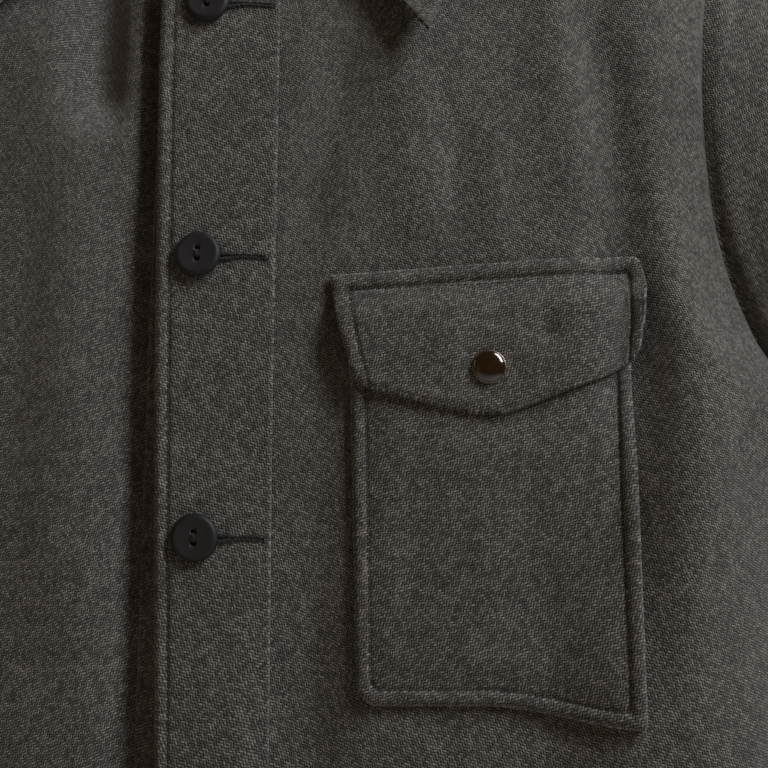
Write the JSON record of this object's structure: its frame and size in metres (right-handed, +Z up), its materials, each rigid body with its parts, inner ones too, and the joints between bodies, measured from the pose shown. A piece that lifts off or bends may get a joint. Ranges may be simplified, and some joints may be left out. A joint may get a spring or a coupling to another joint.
{
  "type": "wool shirt jacket",
  "caption": "Dark wool shirt jacket hanging buttoned, with a point collar, button placket, plain sleeves and one flapped chest pocket with a snap.",
  "frame": {"origin": "where the jacket is held: the inside of the back panel at the middle of its neckline", "axes": "+Z up, +X to the wearer's left, +Y to the wearer's back, so the front faces -Y"},
  "size_m": [0.858, 0.1288, 0.7968],
  "materials": {
    "wool": "brushed melange wool",
    "button": "matt",
    "snap": "glossy enamel"
  },
  "bodies": {
    "root": {"left_front": "wool", "right_front": "wool", "back": "wool", "left_sleeve": "wool", "right_sleeve": "wool", "collar_stand": "wool", "collar_leaf": "wool", "placket": "wool", "button_band": "wool", "chest_pocket": "wool", "pocket_flap": "wool", "button_neck": "button", "button_1": "button", "button_2": "button", "button_3": "button", "button_4": "button", "button_5": "button", "button_6": "button", "snap_cap": "snap"}
  },
  "joints": []
}
